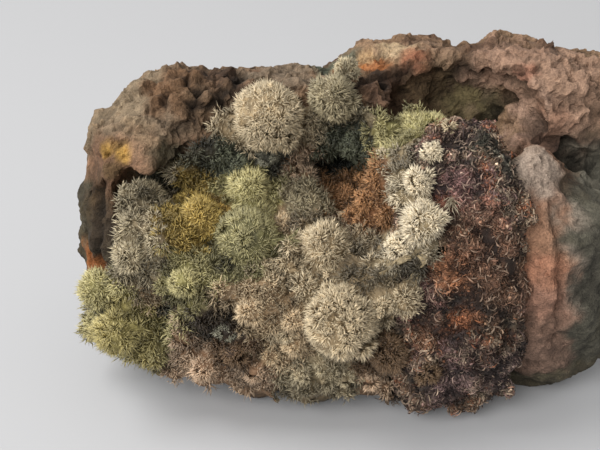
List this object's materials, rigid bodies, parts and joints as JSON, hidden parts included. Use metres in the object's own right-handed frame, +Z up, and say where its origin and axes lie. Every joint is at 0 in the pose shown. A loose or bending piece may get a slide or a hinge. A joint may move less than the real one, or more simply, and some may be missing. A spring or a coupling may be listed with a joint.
{
  "type": "aragonite specimen on host rock",
  "caption": "Broken cobble of brown host rock whose open hollow is lined with pale balls of aragonite needles, with a druse-coated knob at the front.",
  "frame": {"origin": "middle of the specimen's box, at its flat base", "axes": "+Z up, +X along the specimen's length to the right of a viewer who faces the open hollow, +Y away from that viewer"},
  "size_m": [0.0698, 0.0438, 0.0406],
  "materials": {
    "host_rock": "weathered brown volcanic rock with a grey rind and rusty bands, matt",
    "aragonite_needles": "fine needle crystals in cream, yellow and grey green, silky",
    "iron_stained_druse": "short crowded crystals stained purple brown by iron, dull with small glints"
  },
  "bodies": {
    "root": {"host_rock": "host_rock", "crystal_crust": "aragonite_needles", "knob_druse": "iron_stained_druse"}
  },
  "joints": []
}
